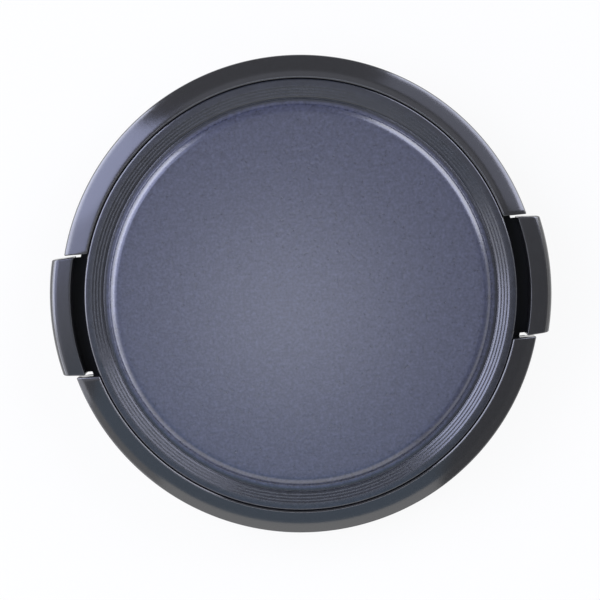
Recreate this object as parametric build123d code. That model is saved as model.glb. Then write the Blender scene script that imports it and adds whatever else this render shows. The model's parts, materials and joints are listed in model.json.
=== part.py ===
from build123d import *
import os
from math import asin, cos, degrees, pi, radians, sin, sqrt, tan

# Side-pinch cap for the front of a camera lens, in millimetres.
# +Z is the front of the cap, the finger tabs lie along X, and Z = 0 is the rear rim.

# Lens thread that the cap clips into
thread_size = 58.0  # nominal diameter of the lens's filter thread
thread_pitch = 0.75
thread_depth = 0.41  # radial height of the thread in the lens

# Spigot that goes into the lens, and the floor that closes it
spigot_play = 0.19  # radial room between the spigot and the thread's crests
spigot_depth = 4.2
spigot_wall = 1.3
spigot_lead = 0.4
floor_recess = 0.8
floor_thickness = 1.0

# Flange, the ring that shows round the front plate
flange_width = 3.0
flange_height = 3.7
flange_tilt = 4.5  # slope at which the flange's crown starts
flange_crown_radius = 10.0
flange_edge_bevel = 0.3
flange_lip_bevel = 0.25

# Front plate and the rings on it, from the edge inwards
plate_inset = 0.07  # how far the plate's edge stays inside the spigot's radius
plate_play = 0.05
plate_edge_bevel = 0.45
crest_width = 0.85
ridge_count = 4
ridge_pitch = 0.385
ridge_slope = 0.24  # width of the sloping side of each ridge, whose top is level
ridge_tilt = 24.0
groove_width = 0.3
groove_depth = 0.23
ledge_width = 0.52
shoulder_round = 1.5
shoulder_turn = 55.0
plateau_rise = 0.1  # how far the middle stands above the flange
panel_thickness = 1.5
plate_rim_width = 3.6

# Lugs under the plate and their sockets on the floor
lug_length = 3.2
lug_thickness = 1.4
lug_play = 0.05
lug_tip_room = 0.4
lug_inset = 6.6  # from the spigot's inner wall to the lug's middle
lug_angle = 59.0
socket_wall = 1.0

# Latches: finger tab, slider and jaw
travel = 1.5
tab_width = 15.34  # half way through the tab's thickness
tab_play = 0.39  # gap at each end of the tab
tab_rest_gap = 0.45  # slot that is left when the tab is pressed right in
tab_thickness = 2.65
tab_drop = 0.1  # how far the tab's top lies below the flange's
tab_tilt = 4.0  # outward slope of the tab's top
tab_taper = 3.4  # slope of each end, which makes the tab narrower outwards
tab_outer_round = 1.0
tab_inner_bevel = 0.12
web_thickness = 0.8
web_reach = 1.05  # how far the web's shoulders stand out past the spigot, under the flange
web_step = 0.84  # how far each shoulder reaches past the window's side
slide_play = 0.1
stop_play = 0.1
stop_step = 1.54  # how far the slider reaches past the window at each side
slider_length = 11.0
slider_wall = 1.2
slider_rib = 1.0
jaw_wall = 1.5
jaw_lift = 0.4
jaw_floor_play = 0.3
tooth_count = 4
tooth_height = 0.3
tooth_base = 0.5
tooth_flat = 0.1
tooth_play = 0.05
first_tooth = 0.5

# Guides for the sliders, on the floor
guide_wall = 1.2
guide_side_play = 0.15
guide_stop_width = 2.6

# Springs and their seats
spring_length = 8.4
spring_diameter = 2.8
spring_wire = 0.42
spring_turns = 4
spring_end_play = 0.03
spring_floor_play = 0.15
spring_pin_width = 1.2
spring_pin_length = 1.6
seat_wall = 1.2
seat_width = 5.0
seat_web = 1.2

# Facets that stand for a round, and for a spring's wire and its turn
crown_facets = 2
shoulder_facets = 3
tab_facets = 2
wire_sides = 6
turn_facets = 10

# Radii
spigot_radius = thread_size / 2 - thread_depth - spigot_play
spigot_inner = spigot_radius - spigot_wall
flange_radius = spigot_radius + flange_width
plate_radius = spigot_radius - plate_inset
recess_radius = plate_radius + plate_play
crest_inner = plate_radius - crest_width
ridge_inner = crest_inner - ridge_count * ridge_pitch
groove_inner = ridge_inner - groove_width
ledge_inner = groove_inner - ledge_width
plateau_radius = ledge_inner - shoulder_round * sin(radians(shoulder_turn))
panel_radius = plate_radius - plate_rim_width
lug_circle = spigot_inner - lug_inset
tab_inner = plate_radius + tab_rest_gap + travel
tab_outer = tab_inner + tab_thickness
web_radius = spigot_radius + web_reach
stop_radius = spigot_inner - stop_play
tooth_crest = thread_size / 2 - tooth_play
tooth_root = tooth_crest - tooth_height
jaw_inner = tooth_root - jaw_wall

# Heights
floor_top = floor_recess + floor_thickness
web_bottom = spigot_depth + slide_play
web_top = web_bottom + web_thickness
plate_seat = web_top + slide_play
flange_top = spigot_depth + flange_height
tab_top = flange_top - tab_drop
plateau_top = flange_top + plateau_rise
panel_bottom = plateau_top - panel_thickness
ledge_top = plateau_top - shoulder_round * (1 - cos(radians(shoulder_turn)))
ridge_rise = ridge_slope * tan(radians(ridge_tilt))
crest_top = ledge_top + ridge_count * ridge_rise
slider_bottom = floor_top + slide_play
spring_height = floor_top + spring_floor_play + spring_diameter / 2
lug_bottom = floor_top + lug_tip_room

# Places along and across the slide
tab_half = tab_width / 2
window_half = tab_half + tab_play
web_half = window_half + web_step
slider_half = window_half + stop_step
slider_rear = stop_radius - slider_length
guide_half = slider_half + guide_side_play
guide_stop = slider_rear - travel - slide_play
jaw_rear = sqrt(jaw_inner**2 - tab_half**2)
window_start = jaw_rear - travel - jaw_floor_play
seat_face = slider_rear - spring_length


def span(low, high):
    """Length and middle of a stretch."""
    return high - low, (high + low) / 2


def slab(x_span, y_span, z_span):
    """Block between two places along each axis."""
    (length, x), (width, y), (height, z) = span(*x_span), span(*y_span), span(*z_span)
    return Pos(x, y, z) * Box(length, width, height)


def strip(half_width, start, end):
    """Plan of a strip along X, with its middle on the axis."""
    length, middle = span(start, end)
    return Pos(middle, 0) * Rectangle(length, 2 * half_width)


def prism(plan, bottom, top):
    """Upright solid of a plan between two heights."""
    return extrude(Pos(0, 0, bottom) * plan, top - bottom)


def turned(points):
    """Solid of revolution about Z from a half section given as (radius, height) points."""
    return revolve(Plane.XZ * make_face(Polyline(*points, close=True)), Axis.Z)


def arc_points(centre, radius, start, end, facets):
    """Points on an arc between two angles, for a round made of a few facets."""
    angles = [radians(start + (end - start) * step / facets) for step in range(facets + 1)]
    return [(centre[0] + radius * cos(angle), centre[1] + radius * sin(angle)) for angle in angles]


def both_sides(piece):
    """The piece and its copy turned half round."""
    return piece + Rot(0, 0, 180) * piece


def spring_pin(seat, direction):
    """Short square pin along X that keeps a spring's end in place."""
    half = spring_pin_width / 2
    reach = sorted((seat, seat + direction * spring_pin_length))
    return slab(reach, (-half, half), (spring_height - half, spring_height + half))


def ring_profile():
    """Half section of the ring body: floor, spigot, plate seat and crowned flange."""
    lip_end = recess_radius + flange_lip_bevel
    edge_start = flange_radius - flange_edge_bevel
    tilt = radians(flange_tilt)
    crown_centre = (lip_end - flange_crown_radius * sin(tilt), flange_top - flange_crown_radius * cos(tilt))
    end_tilt = degrees(asin((edge_start - crown_centre[0]) / flange_crown_radius))
    crown = arc_points(crown_centre, flange_crown_radius, 90 - flange_tilt, 90 - end_tilt, crown_facets)
    edge_height = crown[-1][1] - flange_edge_bevel
    return [
        (recess_radius, flange_top - flange_lip_bevel),
        *crown,
        (flange_radius, edge_height),
        (flange_radius, spigot_depth),
        (spigot_radius, spigot_depth),
        (spigot_radius, spigot_lead),
        (spigot_radius - spigot_lead, 0),
        (spigot_inner, 0),
        (spigot_inner, floor_recess),
        (0, floor_recess),
        (0, floor_top),
        (spigot_inner, floor_top),
        (spigot_inner, plate_seat),
        (recess_radius, plate_seat),
    ]


def guide():
    """One side wall of a slider's guide, with the return that stops the slider's inward travel."""
    outer = guide_half + guide_wall
    wall_end = sqrt((spigot_inner + spigot_wall / 2) ** 2 - outer**2)
    inner = guide_half - guide_stop_width
    rear = guide_stop - guide_wall
    plan = make_face(
        Polyline(
            (rear, outer),
            (rear, inner),
            (guide_stop, inner),
            (guide_stop, guide_half),
            (wall_end, guide_half),
            (wall_end, outer),
            close=True,
        )
    )
    return prism(plan, floor_recess, spigot_depth)


def spring_seat():
    """Wall and pin that a spring pushes against."""
    half = seat_width / 2
    wall = slab((seat_face - seat_wall, seat_face), (-half, half), (floor_recess, plate_seat))
    return wall + spring_pin(seat_face, 1)


def lug_places():
    """Middles of the four lugs and their sockets."""
    x = lug_circle * cos(radians(lug_angle))
    y = lug_circle * sin(radians(lug_angle))
    return [Pos(side * x, end * y) for side in (-1, 1) for end in (-1, 1)]


def ring_body():
    """Flange, spigot and floor in one moulding, with the guides, spring seats and sockets inside."""
    window = slab((window_start, tab_outer), (-window_half, window_half), (-spigot_depth, 2 * flange_top))
    pocket = strip(web_half + slide_play, window_start, tab_outer) & Circle(web_radius + slide_play)
    body = turned(ring_profile()) - both_sides(window) - both_sides(prism(pocket, spigot_depth, plate_seat))
    half_guide = guide()
    body += both_sides(half_guide + mirror(half_guide, Plane.XZ))
    body += both_sides(spring_seat())
    body += slab((-seat_face, seat_face), (-seat_web / 2, seat_web / 2), (floor_recess, spring_height))
    hole = Rectangle(lug_length + 2 * lug_play, lug_thickness + 2 * lug_play)
    socket = offset(hole, socket_wall, kind=Kind.INTERSECTION)
    for place in lug_places():
        body += place * prism(socket - hole, floor_recess, panel_bottom)
    return body


def plate_profile():
    """Half section of the front plate: plateau, shoulder, ledge, groove, ridges, crest and rim."""
    shoulder_centre = (plateau_radius, plateau_top - shoulder_round)
    ridges = []
    for ridge in range(ridge_count):
        foot_radius = ridge_inner + ridge * ridge_pitch
        foot_height = ledge_top + ridge * ridge_rise
        ridges += [(foot_radius, foot_height), (foot_radius + ridge_slope, foot_height + ridge_rise)]
    return [
        (0, plateau_top),
        *arc_points(shoulder_centre, shoulder_round, 90, 90 - shoulder_turn, shoulder_facets),
        (groove_inner, ledge_top),
        (ridge_inner - groove_depth, ledge_top - groove_depth),
        *ridges,
        (plate_radius - plate_edge_bevel, crest_top),
        (plate_radius, crest_top - plate_edge_bevel),
        (plate_radius, plate_seat),
        (panel_radius, plate_seat),
        (panel_radius, panel_bottom),
        (0, panel_bottom),
    ]


def front_plate():
    """Round front with its rings, and the four lugs that go into the body's sockets."""
    plate = turned(plate_profile())
    for place in lug_places():
        plate += place * prism(Rectangle(lug_length, lug_thickness), lug_bottom, panel_bottom)
    return plate


def tab_profile():
    """Half section of the finger tab, with its top sloping outwards to a rounded edge."""
    tilt = radians(tab_tilt)
    top_start = tab_inner + tab_inner_bevel
    round_x = tab_outer - tab_outer_round
    top_end = round_x + tab_outer_round * sin(tilt)
    round_z = tab_top - (top_end - top_start) * tan(tilt) - tab_outer_round * cos(tilt)
    return [
        (tab_inner, web_bottom),
        (tab_outer, web_bottom),
        *arc_points((round_x, round_z), tab_outer_round, 0, 90 - tab_tilt, tab_facets),
        (top_start, tab_top),
        (tab_inner, tab_top - tab_inner_bevel),
    ]


def jaw_profile():
    """Half section of the jaw, with ridges that catch the lens's thread."""
    teeth = []
    for tooth in range(tooth_count):
        middle = jaw_lift + first_tooth + tooth * thread_pitch
        teeth += [
            (tooth_root, middle - tooth_base / 2),
            (tooth_crest, middle - tooth_flat / 2),
            (tooth_crest, middle + tooth_flat / 2),
            (tooth_root, middle + tooth_base / 2),
        ]
    return [(jaw_inner, jaw_lift), (tooth_root, jaw_lift), *teeth, (tooth_root, web_top), (jaw_inner, web_top)]


def slider_tray():
    """Sliding tray under the plate: top, rear and side walls, middle rib and spring pin."""
    tray = strip(slider_half, slider_rear, stop_radius) & Circle(stop_radius)
    web = strip(tab_half, slider_rear, tab_outer) & Circle((tab_inner + tab_outer) / 2)
    web += strip(web_half, slider_rear, tab_outer) & Circle(web_radius)
    hollow = strip(slider_half - slider_wall, slider_rear + slider_wall, stop_radius)
    rib = strip(slider_rib / 2, slider_rear, (jaw_inner + tooth_root) / 2)
    slider = prism(tray + web, web_bottom, web_top)
    slider += prism(tray - hollow, slider_bottom, web_top)
    slider += prism(rib, slider_bottom, web_top)
    return slider + spring_pin(slider_rear, -1)


def tab_plan():
    """Plan of the finger tab's reach, with its ends tapered outwards."""
    narrowing = tab_thickness / 2 * tan(radians(tab_taper))
    middle = (tab_inner + tab_outer) / 2
    start, end = middle - tab_thickness, middle + tab_thickness
    wide, narrow = tab_half + 2 * narrowing, tab_half - 2 * narrowing
    return make_face(Polyline((start, -wide), (end, -narrow), (end, narrow), (start, wide), close=True))


def latch():
    """Right latch: finger tab, slider and jaw in one moulding."""
    tab = turned(tab_profile()) & prism(tab_plan(), web_bottom, tab_top)
    jaw = turned(jaw_profile()) & prism(strip(tab_half, 0, tab_outer), 0, tab_top)
    return slider_tray() + tab + jaw


def spring():
    """Right coil spring, between its seat and the slider, as a loft through sections of its wire."""
    end_room = spring_wire / 2 + spring_end_play
    length = spring_length - 2 * end_room
    coil_radius = (spring_diameter - spring_wire) / 2
    coil = Helix(length / spring_turns, length, coil_radius)
    wire = RegularPolygon(spring_wire / 2, wire_sides)
    sections = []
    for step in range(spring_turns * turn_facets + 1):
        along = step / (spring_turns * turn_facets)
        angle = 2 * pi * spring_turns * along
        outward = (cos(angle), sin(angle), 0)
        sections.append(Plane(coil @ along, x_dir=outward, z_dir=coil % along) * wire)
    return Pos(seat_face + end_room, 0, spring_height) * Rot(0, 90, 0) * loft(sections, ruled=True)


def main():
    os.makedirs("parts", exist_ok=True)
    half_turn = Rot(0, 0, 180)
    right_latch = latch()
    right_spring = spring()
    nodes = {
        "ring_body": ring_body(),
        "front_plate": front_plate(),
        "right_latch": right_latch,
        "left_latch": half_turn * right_latch,
        "right_spring": right_spring,
        "left_spring": half_turn * right_spring,
    }
    for name, solid in nodes.items():
        export_step(solid, f"parts/{name}.step")


main()
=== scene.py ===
"""Looks of a side-pinch lens cap: fine meshes, moulded plastic, studio light and a camera above it."""

import json
from math import acos, asin, atan2, cos, degrees, pi, radians, sin, sqrt, tan

import bmesh
import bpy
from mathutils import Matrix, Vector


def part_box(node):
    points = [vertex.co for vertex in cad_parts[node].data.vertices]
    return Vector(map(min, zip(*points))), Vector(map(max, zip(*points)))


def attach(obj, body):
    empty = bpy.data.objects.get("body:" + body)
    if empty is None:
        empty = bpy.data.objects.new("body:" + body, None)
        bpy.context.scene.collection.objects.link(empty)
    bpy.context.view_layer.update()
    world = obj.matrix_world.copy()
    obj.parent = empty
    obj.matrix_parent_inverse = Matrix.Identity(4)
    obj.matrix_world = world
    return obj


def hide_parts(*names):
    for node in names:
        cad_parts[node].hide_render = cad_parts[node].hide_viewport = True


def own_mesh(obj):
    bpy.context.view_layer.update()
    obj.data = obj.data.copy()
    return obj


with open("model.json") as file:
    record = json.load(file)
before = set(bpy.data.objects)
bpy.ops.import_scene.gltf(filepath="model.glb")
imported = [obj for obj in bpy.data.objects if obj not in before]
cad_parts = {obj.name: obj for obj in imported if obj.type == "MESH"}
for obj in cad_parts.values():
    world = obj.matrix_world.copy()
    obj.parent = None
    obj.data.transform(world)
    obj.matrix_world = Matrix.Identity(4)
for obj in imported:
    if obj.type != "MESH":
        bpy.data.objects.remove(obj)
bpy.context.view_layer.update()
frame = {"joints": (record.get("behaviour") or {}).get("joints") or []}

# Lengths are in millimetres and angles in degrees; MM turns a length into metres for Blender
MM = 0.001


def highest(node):
    """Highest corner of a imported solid, in millimetres."""
    return [round(value / MM, 2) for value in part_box(node)[1]]


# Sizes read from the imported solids
_, flange_radius, flange_top = highest("ring_body")
_, plate_radius, plateau_top = highest("front_plate")
tab_outer, slider_half, tab_top = highest("right_latch")
travel = frame["joints"][0]["range_m"][1] / MM

# Ring: spigot, floor and flange
plate_inset = 0.07
spigot_radius = plate_radius + plate_inset
spigot_depth = 4.2
spigot_wall = 1.3
spigot_lead = 0.4
spigot_inner = spigot_radius - spigot_wall
floor_recess = 0.8
floor_thickness = 1.0
floor_top = floor_recess + floor_thickness
plate_seat = 5.2
plate_play = 0.05
recess_radius = plate_radius + plate_play
lip_width = 0.25
lip_end = recess_radius + lip_width
lip_round = 0.2
roll_tilt = 8.0
roll_radius = 0.34
crown_radius = 10.0
crown_tilt = 4.5
edge_round = 0.3
edge_break = 0.12
window_half = 8.06
window_start = 24.24
window_edge = 0.16
floor_setback = 0.03
floor_half = window_half + floor_setback
cut_margin = 0.002

# Front plate, from the edge inwards
plate_edge_round = 0.3
crest_width = 0.85
crest_inner = plate_radius - crest_width
ridge_count = 4
ridge_pitch = 0.385
ridge_slope = 0.22
ridge_tilt = 26.0
ridge_round = 0.04
ridge_inner = crest_inner - ridge_count * ridge_pitch
groove_width = 0.25
groove_inner = ridge_inner - groove_width
groove_depth = 0.23
groove_round = 0.1
groove_wall = 0.12
groove_middle = ridge_inner - groove_wall
ledge_width = 0.6
ledge_inner = groove_inner - ledge_width
shoulder_round = 1.5
shoulder_turn = 55.0
shoulder_foot = 0.1
plateau_radius = ledge_inner - shoulder_round * sin(radians(shoulder_turn))
ledge_top = plateau_top - shoulder_round * (1 - cos(radians(shoulder_turn)))
ridge_rise = ridge_slope * tan(radians(ridge_tilt))
crest_top = ledge_top + ridge_count * ridge_rise
panel_thickness = 1.5
panel_bottom = plateau_top - panel_thickness
panel_rim = 3.6
panel_radius = plate_radius - panel_rim
lug_x = 10.56
lug_y = 17.57
lug_places = [(x, y) for x in (-lug_x, lug_x) for y in (-lug_y, lug_y)]
lug_size = (3.2, 1.4)
lug_gap = 0.4
lug_bottom = floor_top + lug_gap
socket_play = 0.05
socket_wall = 1.0

# Latches
tab_half = 7.67
tab_thickness = 2.8
tab_inner = tab_outer - tab_thickness
tab_middle = (tab_inner + tab_outer) / 2
tab_tilt = 4.0
tab_taper = 3.4
tab_outer_round = 1.0
tab_inner_round = 0.05
tab_edge = 0.18
web_gap = 0.1
web_bottom = spigot_depth + web_gap
web_thickness = 0.8
web_top = web_bottom + web_thickness
web_reach = 1.05
web_radius = spigot_radius + web_reach
web_shoulder = 0.84
web_half = window_half + web_shoulder
web_play = 0.1
slider_rear = 16.0
slider_play = 0.1
slider_front = spigot_inner - slider_play
slider_wall = 1.2
slider_bottom = floor_top + slider_play
rib_half = 0.5
jaw_bottom = 0.4
tooth_crest = 28.95
tooth_root = 28.65
jaw_inner = 27.15
tooth_count = 4
thread_pitch = 0.75
tooth_base = 0.5
tooth_flat = 0.1
first_tooth = 0.5
jaw_edge = 0.03
neck_setback = 0.05
neck_half = tab_half - neck_setback

# Guides, springs and their seats
guide_play = 0.15
guide_half = slider_half + guide_play
guide_wall = 1.2
stop_play = 0.1
guide_stop = slider_rear - travel - stop_play
guide_stop_width = 2.6
seat_face = 7.6
seat_wall = 1.2
seat_half = 2.5
seat_web_half = 0.6
pin_half = 0.6
pin_length = 1.6
spring_wire = 0.42
spring_diameter = 2.8
spring_turns = 4
spring_lift = 0.15
spring_height = floor_top + spring_lift + spring_diameter / 2
spring_play = 0.03
spring_end_room = spring_wire / 2 + spring_play

# Photograph: 600 pixels square, taken from above with a slight lean; pixel is its width on the cap
image_pixels = 600
pixel = 0.1306
axis_pixel = (300.7, 296.6)
tab_line_turn = 5.2
camera_lean = 4.5
camera_distance = 230.0
sensor = 36.0

# Finishes
plastic_ior = 1.58
plastic_gloss = 1.0
plastic_black = (0.017, 0.017, 0.018)
disc_colour = (0.042, 0.046, 0.074)
disc_roughness = 0.22
ring_zone_colour = (0.0165, 0.0185, 0.025)
ring_zone_roughness = 0.2
grain_size = 0.38
grain_depth = 0.011
grain_margin = 0.2
grain_end = ledge_inner + grain_margin
grain_fade = 0.25
grain_shift = (0.68, 1.32)
mottle_size = 1.0
mottle_shift = (0.85, 1.15)
ring_roughness = 0.12
latch_roughness = 0.16
fine_size = 0.5
fine_shift = (0.9, 1.1)
fine_depth = 0.002
broad_size = 6.0
polish_shift = (0.9, 1.1)
# Painted shade: inside the slots behind the tabs the plastic's colour is darkened to this share, and made
# matt and less glossy; the fades say where that starts and ends
painted_slot_shade = 0.3
slot_roughness = 0.6
slot_gloss = 0.2
slot_top_fade = (0.1, 0.4)
slot_bottom_fade = (0.05, 0.15)
slot_side_fade = (0.02, 0.06)
steel_colour = (0.56, 0.55, 0.53)
steel_roughness = (0.25, 0.4)
steel_grain_size = 0.15
noise_range = (0.3, 0.7)
noise_roughness = 0.6
fine_detail = 3
broad_detail = 2

# Light: azimuths in the picture, angles from straight up, distance, strength and colour of each softbox
sky_light = (0.93, 1.0, 1.48)
window_light = (0.96, 1.0, 1.25)
day_light = (0.98, 1.0, 1.1)
wall_light = (1.0, 1.0, 1.0)
shade_light = (0.72, 0.96, 1.25)
far = 1000.0
near = 194.0
softboxes = {
    "ceiling": ((0, 360), (1, 12), far, 0.35, day_light),
    "left_window_high": ((137, 168), (17.5, 43), far, 2.4, sky_light),
    "left_window": ((132, 168), (43, 65), far, 5.3, window_light),
    "left_window_low": ((132, 168), (65, 86), far, 3.6, day_light),
    "left_side_high": ((168, 190), (17.5, 43), far, 1.6, sky_light),
    "left_side": ((168, 192), (43, 65), far, 4.6, window_light),
    "left_side_low": ((168, 192), (65, 86), far, 3.2, day_light),
    "left_fill_high": ((190, 206), (17.5, 43), far, 0.6, day_light),
    "left_fill": ((192, 212), (43, 70), far, 1.6, day_light),
    "left_fill_low": ((192, 234), (70, 86), far, 3.2, day_light),
    "right_window_high": ((14, 66), (24, 42), far, 0.7, window_light),
    "right_window": ((14, 66), (42, 62), far, 4.1, window_light),
    "right_window_low": ((14, 66), (62, 86), far, 4.1, day_light),
    "front_wall_high": ((212, 304), (12, 42), far, 0.4, shade_light),
    "front_wall_left": ((212, 236), (45, 55), near, 0.65, wall_light),
    "front_wall_left_low": ((212, 236), (55, 80), near, 1.2, wall_light),
    "front_wall": ((236, 304), (43, 80), near, 1.1, wall_light),
    "back_high": ((14, 131), (12, 21), far, 0.45, day_light),
    "back_wall": ((67, 131), (21, 60), far, 0.2, wall_light),
    "corner": ((306, 360), (38, 56), far, 0.22, wall_light),
    "corner_low": ((306, 374), (56, 86), far, 0.8, wall_light),
}
sky_strength = 0.17
white_glow = 0.98
table_drop = 0.02
table_half = 2000.0
table_colour = (0.9, 0.9, 0.9)
table_roughness = 0.9
table_glow_share = 0.92
lamp_place = (-12.0, -52.0, 600.0)
lamp_size = 90.0
lamp_power = 0.053
lamp_light = (0.93, 0.97, 1.12)

# Fineness of the meshes
turn_steps = 384
sweep_steps = 160
round_facets = 6
least_round = 0.01
smooth_angle = 32.0
normal_weight = 80
softbox_steps = 24
coil_steps = 40
wire_steps = 12

# Rows of points on flat faces, as shares of the way across them
plateau_rows = (0, 0.3, 0.6, 0.85, 0.97)
panel_rows = (0.6, 0.3, 0)
tab_rows = (0.95, 0.5, 0.15)


# Outlines

def arc(centre, radius, start, end, facets):
    """Points on an arc between two angles in degrees."""
    angles = [radians(start + (end - start) * step / facets) for step in range(facets + 1)]
    return [(centre[0] + radius * cos(angle), centre[1] + radius * sin(angle)) for angle in angles]


def plain(points):
    """Corners with no round, from points."""
    return [(*point, 0) for point in points]


def rounded(corners, closed=True):
    """Outline through (across, up, round) corners, with an arc of that round at each corner."""
    outline = []
    for index, (across, up, size) in enumerate(corners):
        corner = Vector((across, up))
        is_end = not closed and index in (0, len(corners) - 1)
        if size == 0 or is_end:
            outline.append((across, up))
            continue
        to_last = (Vector(corners[index - 1][:2]) - corner).normalized()
        to_next = (Vector(corners[(index + 1) % len(corners)][:2]) - corner).normalized()
        half = to_last.angle(to_next) / 2
        centre = corner + (to_last + to_next).normalized() * (size / sin(half))
        first = corner + to_last * (size / tan(half)) - centre
        turn = to_next.angle_signed(-to_last)
        start = degrees(atan2(first.y, first.x))
        outline += arc(centre, size, start, start + degrees(turn), round_facets)
    return outline


def inset(corners, depth):
    """Closed outline's corners moved inwards, with smaller rounds outside and larger ones inside."""
    count = len(corners)
    places = [Vector(corner[:2]) for corner in corners]
    area = sum(places[i - 1].cross(places[i]) for i in range(count))
    side = 1 if area > 0 else -1
    moved = []
    for index, place in enumerate(places):
        before = (place - places[index - 1]).normalized()
        after = (places[(index + 1) % count] - place).normalized()
        normals = [Vector((-edge.y, edge.x)) * side for edge in (before, after)]
        middle = (normals[0] + normals[1]).normalized()
        size = corners[index][2]
        if size > 0:
            is_outside = before.cross(after) * side > 0
            size = max(size - depth, least_round) if is_outside else size + depth
        moved.append((*(place + middle * (depth / middle.dot(normals[0]))), size))
    return moved


# Meshes

def new_object(name, points, faces):
    """Mesh object from points in millimetres, its faces turned outwards and many-cornered ones split."""
    mesh = bpy.data.meshes.new(name)
    mesh.from_pydata([Vector(point) * MM for point in points], [], faces)
    shell = bmesh.new()
    shell.from_mesh(mesh)
    bmesh.ops.recalc_face_normals(shell, faces=shell.faces)
    bmesh.ops.triangulate(shell, faces=[face for face in shell.faces if len(face.verts) > 4])
    shell.to_mesh(mesh)
    shell.free()
    made = bpy.data.objects.new(name, mesh)
    bpy.context.scene.collection.objects.link(made)
    return made


def strip_faces(rows, count, wrap):
    """Quads between rows of points that each hold the same count."""
    faces = []
    for row in range(rows - 1):
        for place in range(count if wrap else count - 1):
            after = (place + 1) % count
            low, high = row * count, (row + 1) * count
            faces.append((low + place, low + after, high + after, high + place))
    return faces


def lathe(name, outline):
    """Solid of revolution from an outline that starts and ends on the axis."""
    ring = outline[1:-1]
    points = []
    for radius, height in ring:
        for step in range(turn_steps):
            angle = 2 * pi * step / turn_steps
            points.append((radius * cos(angle), radius * sin(angle), height))
    faces = strip_faces(len(ring), turn_steps, True)
    last = (len(ring) - 1) * turn_steps
    for first, pole in ((0, outline[0]), (last, outline[-1])):
        points.append((0, 0, pole[1]))
        for step in range(turn_steps):
            faces.append((first + step, first + (step + 1) % turn_steps, len(points) - 1))
    return new_object(name, points, faces)


def swept(name, corners, limits, edge):
    """Outline swept about the axis between two upright end planes, with its end edges rounded.

    limits(radius, back) gives the first and last angle at a radius, with the planes moved back
    into the solid.
    """
    outline = rounded(corners)
    turns = [radians(90 * step / round_facets) for step in range(round_facets + 1)]
    ends = [(rounded(inset(corners, edge * (1 - cos(turn)))), edge * (1 - sin(turn))) for turn in turns]
    rows = [(section, back, 0) for section, back in reversed(ends)]
    rows += [(outline, edge, step / sweep_steps) for step in range(1, sweep_steps)]
    rows += [(section, back, 1) for section, back in ends]
    points = []
    for section, back, along in rows:
        for radius, height in section:
            first, last = limits(radius, back)
            angle = first + (last - first) * along
            points.append((radius * cos(angle), radius * sin(angle), height))
    count = len(outline)
    faces = strip_faces(len(rows), count, True)
    faces += [tuple(range(count)), tuple(range(len(points) - count, len(points)))]
    return new_object(name, points, faces)


def prism(name, plan, bottom, top):
    """Upright solid of a plan between two heights."""
    count = len(plan)
    points = [(x, y, height) for height in (bottom, top) for x, y in plan]
    faces = strip_faces(2, count, True)
    faces += [tuple(range(count)), tuple(range(count, 2 * count))]
    return new_object(name, points, faces)


def frame_prism(name, outer, inner, bottom, top):
    """Upright tube between an outer and an inner plan of as many points."""
    count = len(outer)
    rows = [(outer, bottom), (outer, top), (inner, top), (inner, bottom), (outer, bottom)]
    points = [(x, y, height) for plan, height in rows[:-1] for x, y in plan]
    faces = strip_faces(len(rows), count, True)
    wrapped = [tuple(index % len(points) for index in face) for face in faces]
    return new_object(name, points, wrapped)


def rectangle(x_span, y_span):
    """Plan of a rectangle between two places along each axis."""
    return [(x_span[0], y_span[0]), (x_span[1], y_span[0]), (x_span[1], y_span[1]), (x_span[0], y_span[1])]


def around(middle, halves):
    """Plan of a rectangle round its middle."""
    return rectangle(*((place - half, place + half) for place, half in zip(middle, halves)))


def half_turn(piece):
    """Copy of a piece turned half round the axis."""
    copy = piece.copy()
    copy.data = piece.data.copy()
    copy.data.transform(Matrix.Rotation(pi, 4, "Z"))
    bpy.context.scene.collection.objects.link(copy)
    return copy


def united(name, shells, cuts=()):
    """One mesh from closed shells that overlap, with the cuts taken out of them."""
    base = shells[0]
    steps = [("UNION", shell) for shell in shells[1:]] + [("DIFFERENCE", cut) for cut in cuts]
    for operation, shell in steps:
        step = base.modifiers.new("step", "BOOLEAN")
        step.operation = operation
        step.solver = "MANIFOLD"
        step.object = shell
    base.update_tag()
    graph = bpy.context.evaluated_depsgraph_get()
    mesh = bpy.data.meshes.new_from_object(base.evaluated_get(graph))
    for shell in [*shells, *cuts]:
        bpy.data.objects.remove(shell)
    made = bpy.data.objects.new(name, mesh)
    mesh.name = name
    bpy.context.scene.collection.objects.link(made)
    return made


def shade(piece):
    """Smooth shading that keeps flat faces flat and edges sharp."""
    mesh = piece.data
    mesh.shade_smooth()
    mesh.set_sharp_from_angle(angle=radians(smooth_angle))
    weighted = piece.modifiers.new("weighted", "WEIGHTED_NORMAL")
    weighted.keep_sharp = True
    weighted.weight = normal_weight


# Ring body

def ring_corners():
    """Corners of the section of the flange and spigot wall."""
    crown_x = lip_end - crown_radius * sin(radians(crown_tilt))
    crown_z = flange_top - crown_radius * cos(radians(crown_tilt))
    edge_start = flange_radius - edge_round
    start_tilt, end_tilt = (degrees(asin((x - crown_x) / crown_radius)) for x in (lip_end, edge_start))
    crown = arc((crown_x, crown_z), crown_radius, 90 - start_tilt, 90 - end_tilt, 3 * round_facets)
    start = Vector(crown[0])
    roll_centre = start + (Vector((crown_x, crown_z)) - start).normalized() * roll_radius
    roll = arc(roll_centre, roll_radius, 90 + roll_tilt, 90 - start_tilt, 2 * round_facets)
    lip_top = roll[0][1] - (roll[0][0] - recess_radius) * tan(radians(roll_tilt))
    edge_top = crown[-1][1] - edge_round * tan(radians(end_tilt))
    return [
        (recess_radius, lip_top, lip_round),
        *plain(roll[1:]),
        *plain(crown[1:]),
        (flange_radius, edge_top, edge_round),
        (flange_radius, spigot_depth, edge_break),
        (spigot_radius, spigot_depth, edge_break),
        (spigot_radius, spigot_lead, edge_break),
        (spigot_radius - spigot_lead, 0, edge_break),
        (spigot_inner, 0, edge_break),
        (spigot_inner, plate_seat, edge_break),
        (recess_radius, plate_seat, edge_break),
    ]


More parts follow.
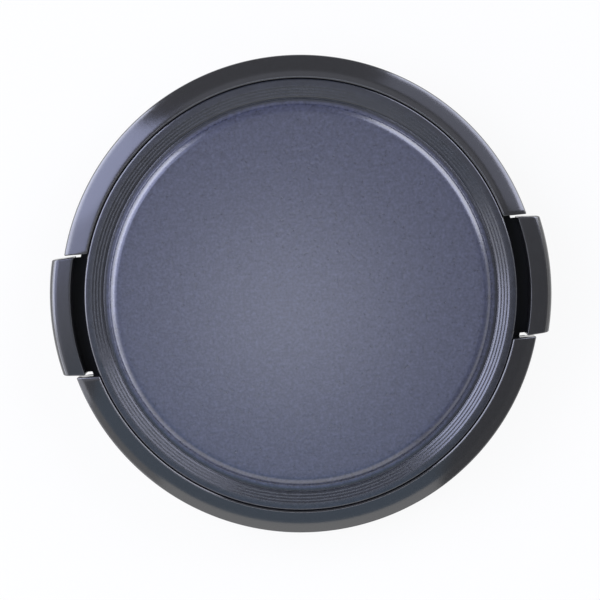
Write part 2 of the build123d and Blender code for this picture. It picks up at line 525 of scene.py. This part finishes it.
def ring_limits(radius, back):
    """Angles between which one half of the ring runs, from window to window."""
    first = asin((window_half + back) / radius)
    return first, pi - first


def floor_plan():
    """Plan of the rear floor, cut away at both windows."""
    radius = spigot_inner + spigot_wall / 2
    end = degrees(asin(floor_half / radius))
    upper = arc((0, 0), radius, end, 180 - end, sweep_steps)
    left = [(-window_start, floor_half), (-window_start, -floor_half)]
    lower = arc((0, 0), radius, 180 + end, 360 - end, sweep_steps)
    right = [(window_start, -floor_half), (window_start, floor_half)]
    return upper + left + lower + right


def guide_plan(side):
    """Plan of one side wall of the right slider's guide, with its stop."""
    outer = guide_half + guide_wall
    inner = guide_half - guide_stop_width
    rear = guide_stop - guide_wall
    end = sqrt((spigot_inner + spigot_wall / 2) ** 2 - outer**2)
    plan = [(rear, outer), (rear, inner), (guide_stop, inner)]
    plan += [(guide_stop, guide_half), (end, guide_half), (end, outer)]
    return [(x, side * y) for x, y in plan]


def pocket():
    """Room under the flange for the shoulders of the right latch's web."""
    half = web_half + web_play
    radius = web_radius + web_play
    turn = degrees(asin(half / radius))
    plan = [(window_start, half), (window_start, -half), *arc((0, 0), radius, -turn, turn, sweep_steps)]
    return prism("pocket", plan, spigot_depth - cut_margin, plate_seat + cut_margin)


def spring_pin(seat, direction):
    """Square pin along X that holds a spring's end."""
    reach = sorted((seat, seat + direction * pin_length))
    plan = rectangle(reach, (-pin_half, pin_half))
    return prism("pin", plan, spring_height - pin_half, spring_height + pin_half)


def ring_body():
    """Flange, spigot and floor, with guides, spring seats and sockets inside."""
    half = swept("ring_half", ring_corners(), ring_limits, window_edge)
    shells = [half, half_turn(half), prism("floor", floor_plan(), floor_recess, floor_top)]
    seat = rectangle((seat_face - seat_wall, seat_face), (-seat_half, seat_half))
    one_side = [prism("guide", guide_plan(side), floor_recess, spigot_depth) for side in (-1, 1)]
    one_side += [prism("seat", seat, floor_recess, plate_seat), spring_pin(seat_face, 1)]
    shells += one_side + [half_turn(piece) for piece in one_side]
    web = rectangle((-seat_face, seat_face), (-seat_web_half, seat_web_half))
    shells.append(prism("seat_web", web, floor_recess, spring_height))
    hole = [size / 2 + socket_play for size in lug_size]
    wall = [half + socket_wall for half in hole]
    for place in lug_places:
        outer, inner = around(place, wall), around(place, hole)
        shells.append(frame_prism("socket", outer, inner, floor_recess, panel_bottom))
    room = pocket()
    return united("ring", shells, [room, half_turn(room)])


# Front plate

def plate_outline():
    """Half section of the plate, from the axis over the face to the underside."""
    shoulder_centre = (plateau_radius, plateau_top - shoulder_round)
    shoulder = arc(shoulder_centre, shoulder_round, 90, 90 - shoulder_turn, 3 * round_facets)
    ridges = []
    for ridge in range(ridge_count):
        radius, height = ridge_inner + ridge * ridge_pitch, ledge_top + ridge * ridge_rise
        foot_round = ridge_round if ridge > 0 else 0
        ridges += [(radius, height, foot_round), (radius + ridge_slope, height + ridge_rise, ridge_round)]
    return rounded(
        [
            *plain((plateau_radius * share, plateau_top) for share in plateau_rows),
            *plain(shoulder[:-1]),
            (ledge_inner, ledge_top, shoulder_foot),
            (groove_inner, ledge_top, ridge_round),
            (groove_middle, ledge_top - groove_depth, groove_round),
            *ridges,
            (plate_radius, crest_top, plate_edge_round),
            (plate_radius, plate_seat, edge_break),
            (panel_radius, plate_seat, edge_break),
            (panel_radius, panel_bottom, edge_break),
            *plain((panel_radius * share, panel_bottom) for share in panel_rows),
        ],
        closed=False,
    )


def front_plate():
    """Round front with its rings, and the lugs under it."""
    shells = [lathe("plate_disc", plate_outline())]
    halves = [size / 2 for size in lug_size]
    lug_top = panel_bottom + edge_break
    for place in lug_places:
        shells.append(prism("lug", around(place, halves), lug_bottom, lug_top))
    return united("plate", shells)


# Latches

def tab_limits(radius, back):
    """Angles between which the finger tab runs, with its ends tapered outwards."""
    taper = radians(tab_taper)
    end = (tab_half + tab_middle * tan(taper)) * cos(taper)
    last = pi / 2 - taper - acos((end - back) / radius)
    return -last, last


def jaw_limits(radius, back):
    """Angles between which the jaw runs."""
    last = asin((tab_half - back) / radius)
    return -last, last


def tab_corners():
    """Corners of the section of the finger tab, with its top sloping outwards."""
    slope = tan(radians(tab_tilt))
    inner_top = tab_top + tab_inner_round * slope
    rows = [tab_inner + (tab_outer - tab_outer_round - tab_inner) * share for share in tab_rows]
    return [
        (tab_inner, web_bottom, edge_break),
        (tab_outer, web_bottom, edge_break),
        (tab_outer, inner_top - (tab_outer - tab_inner) * slope, tab_outer_round),
        *plain((row, inner_top - (row - tab_inner) * slope) for row in rows),
        (tab_inner, inner_top, tab_inner_round),
    ]


def jaw_corners():
    """Corners of the section of the jaw, with ridges that catch the lens's thread."""
    teeth = []
    for tooth in range(tooth_count):
        middle = jaw_bottom + first_tooth + tooth * thread_pitch
        teeth += [(tooth_root, middle - tooth_base / 2), (tooth_crest, middle - tooth_flat / 2)]
        teeth += [(tooth_crest, middle + tooth_flat / 2), (tooth_root, middle + tooth_base / 2)]
    lower = [(jaw_inner, jaw_bottom), (tooth_root, jaw_bottom)]
    upper = [(tooth_root, web_top), (jaw_inner, web_top)]
    return plain(lower + teeth + upper)


def mirrored(points):
    """Points, then their mirror images across the X axis, for a plan that is alike on both sides."""
    return points + [(x, -y) for x, y in reversed(points)]


def on_circle(radius, half_width):
    """Place along X where a circle is that far from the axis across it."""
    return sqrt(radius**2 - half_width**2)


def tray_plan():
    """Plan of the slider's top, with the shouldered web that carries the jaw and the tab."""
    plan = [(slider_rear, slider_half)]
    steps = [
        (slider_front, slider_half, web_half),
        (web_radius, web_half, neck_half),
        (tab_middle, neck_half, 0),
    ]
    for radius, start, end in steps:
        turns = [degrees(asin(half / radius)) for half in (start, end)]
        plan += arc((0, 0), radius, *turns, 2 * round_facets)
    return mirrored(plan[:-1])


def right_latch():
    """Finger tab, slider and jaw in one moulding."""
    inner_half = slider_half - slider_wall
    side = [
        (slider_rear, inner_half),
        (on_circle(slider_front, inner_half), inner_half),
        (on_circle(slider_front, slider_half), slider_half),
        (slider_rear, slider_half),
    ]
    rear = rectangle((slider_rear, slider_rear + slider_wall), (-slider_half, slider_half))
    rib = rectangle((slider_rear, (jaw_inner + tooth_root) / 2), (-rib_half, rib_half))
    shells = [
        swept("tab", tab_corners(), tab_limits, tab_edge),
        swept("jaw", jaw_corners(), jaw_limits, jaw_edge),
        prism("tray", tray_plan(), web_bottom, web_top),
        prism("side", side, slider_bottom, web_top),
        prism("side", [(x, -y) for x, y in side], slider_bottom, web_top),
        prism("rear", rear, slider_bottom, web_top),
        prism("rib", rib, slider_bottom, web_top),
        spring_pin(slider_rear, -1),
    ]
    return united("latch_right", shells)


# Springs

def right_spring():
    """Coil spring of round wire between its seat and the slider."""
    coil_radius = (spring_diameter - spring_wire) / 2
    start = seat_face + spring_end_room
    pitch = (slider_rear - spring_end_room - start) / spring_turns
    lean = atan2(pitch, 2 * pi * coil_radius)
    points = []
    rows = spring_turns * coil_steps + 1
    for row in range(rows):
        turn = 2 * pi * row / coil_steps
        outward = Vector((0, sin(turn), -cos(turn)))
        along = Vector((sin(lean), cos(lean) * cos(turn), cos(lean) * sin(turn)))
        across = along.cross(outward)
        middle = Vector((start + pitch * row / coil_steps, 0, spring_height)) + outward * coil_radius
        for step in range(wire_steps):
            angle = 2 * pi * step / wire_steps
            points.append(middle + (outward * cos(angle) + across * sin(angle)) * spring_wire / 2)
    faces = strip_faces(rows, wire_steps, True)
    faces += [tuple(range(wire_steps)), tuple(range(len(points) - wire_steps, len(points)))]
    return new_object("spring_right", points, faces)


# Materials

def new_material(name):
    """Material with its shader, and a maker of further nodes in it."""
    material = bpy.data.materials.new(name)
    material.use_nodes = True
    tree = material.node_tree

    def add(kind, inputs, **settings):
        made = tree.nodes.new("ShaderNode" + kind)
        for key, value in settings.items():
            setattr(made, key, value)
        for key, value in inputs.items():
            if isinstance(value, bpy.types.NodeSocket):
                tree.links.new(value, made.inputs[key])
            else:
                made.inputs[key].default_value = value
        return made

    return material, tree, tree.nodes["Principled BSDF"], add


def noise(add, place, size, detail):
    """Noise from 0 to 1 whose features are about that size in millimetres."""
    settings = {"Vector": place, "Scale": 1 / (size * MM), "Detail": detail, "Roughness": noise_roughness}
    return add("TexNoise", settings).outputs[0]


def ramp(add, value, start, end, low, high):
    """Value between two places brought between two others, as a socket."""
    return add(
        "MapRange", {"Value": value, "From Min": start, "From Max": end, "To Min": low, "To Max": high}
    ).outputs["Result"]


def spread(add, value, low, high):
    """Noise brought between two values, as a socket."""
    return ramp(add, value, *noise_range, low, high)


def fade(add, value, place, reach, low, high):
    """Ramp that starts and ends at two distances past a place, in millimetres."""
    start, end = ((place + distance) * MM for distance in reach)
    return ramp(add, value, start, end, low, high)


def product(add, first, second):
    """One value times another, as a socket."""
    return add("Math", {0: first, 1: second}, operation="MULTIPLY").outputs[0]


def larger(add, first, second):
    """Larger of two values, as a socket."""
    return add("Math", {0: first, 1: second}, operation="MAXIMUM").outputs[0]


def from_axis(add, place):
    """Distance from the cap's axis, as a socket."""
    flat = add("VectorMath", {0: place, 1: (1, 1, 0)}, operation="MULTIPLY").outputs[0]
    return add("VectorMath", {0: flat}, operation="LENGTH").outputs["Value"]


def plate_plastic():
    """Slate plastic: a fine grain on the raised middle, smoother and darker rings outside it."""
    material, tree, shader, add = new_material("plate_plastic")
    place = add("TexCoord", {}).outputs["Object"]
    radius = from_axis(add, place)
    middle = ramp(add, radius, grain_end * MM, (grain_end + grain_fade) * MM, 1, 0)
    grain = noise(add, place, grain_size, fine_detail)
    mottle = noise(add, place, mottle_size, fine_detail)
    shift = product(add, spread(add, grain, *grain_shift), spread(add, mottle, *mottle_shift))
    # A Mix node's colours are its sockets 6 and 7, and its plain numbers 2 and 3
    zones = {0: middle, 6: (*ring_zone_colour, 1), 7: (*disc_colour, 1)}
    tint = add("Mix", zones, data_type="RGBA").outputs[2]
    colour = add("VectorMath", {0: tint, "Scale": shift}, operation="SCALE").outputs[0]
    tree.links.new(colour, shader.inputs["Base Color"])
    tree.links.new(ramp(add, middle, 0, 1, ring_zone_roughness, disc_roughness), shader.inputs["Roughness"])
    height = product(add, grain, middle)
    bump = add("Bump", {"Height": height, "Strength": 1.0, "Distance": grain_depth * MM})
    tree.links.new(bump.outputs["Normal"], shader.inputs["Normal"])
    shader.inputs["IOR"].default_value = plastic_ior
    shader.inputs["Specular IOR Level"].default_value = plastic_gloss
    return material


def gloss_plastic(name, roughness):
    """Black polished plastic with a trace of unevenness; inside the slots behind the tabs it is matt and
    less glossy, and its colour is darkened there as painted shade.
    """
    material, tree, shader, add = new_material(name)
    place = add("TexCoord", {}).outputs["Object"]
    height = add("SeparateXYZ", {0: place}).outputs["Z"]
    # Mask that is 1 outside the slots behind the tabs and falls to 0 deep inside them, where the colour
    # gets painted shade
    above = fade(add, height, web_top, slot_top_fade, 0, 1)
    below = fade(add, height, web_bottom, slot_bottom_fade, 1, 0)
    outside = fade(add, from_axis(add, place), tab_inner, slot_side_fade, 0, 1)
    seen = larger(add, larger(add, above, outside), below)
    fine = noise(add, place, fine_size, fine_detail)
    broad = noise(add, place, broad_size, broad_detail)
    # Random tone from the fine noise, times the painted shade inside the slots
    shift = product(add, spread(add, fine, *fine_shift), ramp(add, seen, 0, 1, painted_slot_shade, 1))
    tint = add("VectorMath", {0: plastic_black, "Scale": shift}, operation="SCALE").outputs[0]
    tree.links.new(tint, shader.inputs["Base Color"])
    polish = spread(add, broad, *(roughness * share for share in polish_shift))
    rough = add("Mix", {0: seen, 2: slot_roughness, 3: polish}, data_type="FLOAT").outputs[0]
    tree.links.new(rough, shader.inputs["Roughness"])
    tree.links.new(ramp(add, seen, 0, 1, slot_gloss, plastic_gloss), shader.inputs["Specular IOR Level"])
    bump = add("Bump", {"Height": fine, "Strength": 1.0, "Distance": fine_depth * MM})
    tree.links.new(bump.outputs["Normal"], shader.inputs["Normal"])
    shader.inputs["IOR"].default_value = plastic_ior
    return material


def spring_steel():
    """Drawn steel wire."""
    material, tree, shader, add = new_material("spring_steel")
    place = add("TexCoord", {}).outputs["Object"]
    drawn = noise(add, place, steel_grain_size, broad_detail)
    tree.links.new(spread(add, drawn, *steel_roughness), shader.inputs["Roughness"])
    shader.inputs["Base Color"].default_value = (*steel_colour, 1)
    shader.inputs["Metallic"].default_value = 1.0
    return material


# Pieces in their places

def dress(piece, body, node, material):
    """Gives a piece its finish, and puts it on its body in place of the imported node."""
    piece.data.materials.clear()
    piece.data.materials.append(material)
    shade(piece)
    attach(piece, body)
    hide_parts(node)


def place_spring(piece, node):
    """Puts a spring in its seat on the cap, with a mesh of its own."""
    piece.data.materials.append(spring_finish)
    piece.data.shade_smooth()
    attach(piece, "cap")
    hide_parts(node)
    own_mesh(piece)


ring_finish = gloss_plastic("ring_plastic", ring_roughness)
latch_finish = gloss_plastic("latch_plastic", latch_roughness)
plate_finish = plate_plastic()
spring_finish = spring_steel()

dress(ring_body(), "cap", "ring_body", ring_finish)
dress(front_plate(), "cap", "front_plate", plate_finish)
latch = right_latch()
other_latch = half_turn(latch)
other_latch.name = "latch_left"
dress(latch, "right_latch", "right_latch", latch_finish)
dress(other_latch, "left_latch", "left_latch", latch_finish)
coil = right_spring()
other_coil = half_turn(coil)
other_coil.name = "spring_left"
place_spring(coil, "right_spring")
place_spring(other_coil, "left_spring")


# Stage, light and camera

def table():
    """White table top that stays white in the picture and still takes a faint shadow."""
    corners = [(x, y, -table_drop) for x, y in around((0, 0), (table_half, table_half))]
    top = new_object("table", corners, [(0, 1, 2, 3)])
    material, tree, shader, add = new_material("table_white")
    shader.inputs["Base Color"].default_value = (*table_colour, 1)
    shader.inputs["Roughness"].default_value = table_roughness
    glow = add("Emission", {"Color": (1, 1, 1, 1), "Strength": white_glow})
    path = add("LightPath", {}).outputs
    seen = larger(add, path["Is Camera Ray"], path["Is Glossy Ray"])
    seen = larger(add, seen, path["Is Transmission Ray"])
    share = product(add, seen, table_glow_share)
    mixed = add("MixShader", {0: share, 1: shader.outputs[0], 2: glow.outputs[0]})
    tree.links.new(mixed.outputs[0], tree.nodes["Material Output"].inputs["Surface"])
    top.data.materials.append(material)


def direction(azimuth, zenith):
    """Unit vector towards a direction of the picture and an angle from straight up, both in degrees."""
    turn, fall = radians(azimuth - tab_line_turn), radians(zenith)
    return Vector((sin(fall) * cos(turn), sin(fall) * sin(turn), cos(fall)))


def softbox(name, azimuths, zeniths, distance, strength, colour):
    """Panel of soft light that fills a patch of the sky over the object, unseen by the camera."""
    points = []
    for zenith in zeniths:
        for step in range(softbox_steps + 1):
            azimuth = azimuths[0] + (azimuths[1] - azimuths[0]) * step / softbox_steps
            points.append(direction(azimuth, zenith) * distance)
    panel = new_object(name, points, strip_faces(2, softbox_steps + 1, False))
    material = bpy.data.materials.new(name)
    material.use_nodes = True
    tree = material.node_tree
    tree.nodes.clear()
    glow = tree.nodes.new("ShaderNodeEmission")
    glow.inputs["Color"].default_value = (*colour, 1)
    glow.inputs["Strength"].default_value = strength
    output = tree.nodes.new("ShaderNodeOutputMaterial")
    tree.links.new(glow.outputs[0], output.inputs["Surface"])
    panel.data.materials.append(material)
    panel.visible_camera = False
    panel.visible_shadow = False


def overhead_lamp():
    """Small lamp over the cap, which gives the middle of the plate its glow."""
    data = bpy.data.lights.new("overhead_lamp", "AREA")
    data.shape = "DISK"
    data.size = lamp_size * MM
    data.energy = lamp_power
    data.color = lamp_light
    lamp = bpy.data.objects.new("overhead_lamp", data)
    lamp.location = Vector(lamp_place) * MM
    bpy.context.scene.collection.objects.link(lamp)


def studio_sky():
    """Dim even surroundings, which the camera sees as a white backdrop."""
    world = bpy.data.worlds.new("studio")
    bpy.context.scene.world = world
    world.use_nodes = True
    tree = world.node_tree
    dim = tree.nodes["Background"]
    dim.inputs["Color"].default_value = (1, 1, 1, 1)
    dim.inputs["Strength"].default_value = sky_strength
    backdrop = tree.nodes.new("ShaderNodeBackground")
    backdrop.inputs["Color"].default_value = (1, 1, 1, 1)
    backdrop.inputs["Strength"].default_value = white_glow
    path = tree.nodes.new("ShaderNodeLightPath")
    mixed = tree.nodes.new("ShaderNodeMixShader")
    tree.links.new(path.outputs["Is Camera Ray"], mixed.inputs[0])
    tree.links.new(dim.outputs[0], mixed.inputs[1])
    tree.links.new(backdrop.outputs[0], mixed.inputs[2])
    tree.links.new(mixed.outputs[0], tree.nodes["World Output"].inputs["Surface"])


def camera():
    """Camera above the cap, leaning a little to the far side, turned and placed as in the photograph."""
    data = bpy.data.cameras.new("camera")
    data.sensor_width = sensor
    data.lens = sensor * camera_distance / (image_pixels * pixel)
    made = bpy.data.objects.new("camera", data)
    made.rotation_euler = (radians(-camera_lean), 0, radians(-tab_line_turn))
    turn = made.rotation_euler.to_matrix()
    across, down = ((image_pixels / 2 - value) * pixel for value in axis_pixel)
    target = Vector((0, 0, flange_top))
    made.location = (target + turn @ Vector((across, -down, camera_distance))) * MM
    bpy.context.scene.collection.objects.link(made)
    bpy.context.scene.camera = made


table()
for name, settings in softboxes.items():
    softbox(name, *settings)
overhead_lamp()
studio_sky()
camera()
bpy.context.scene.view_settings.view_transform = "Standard"
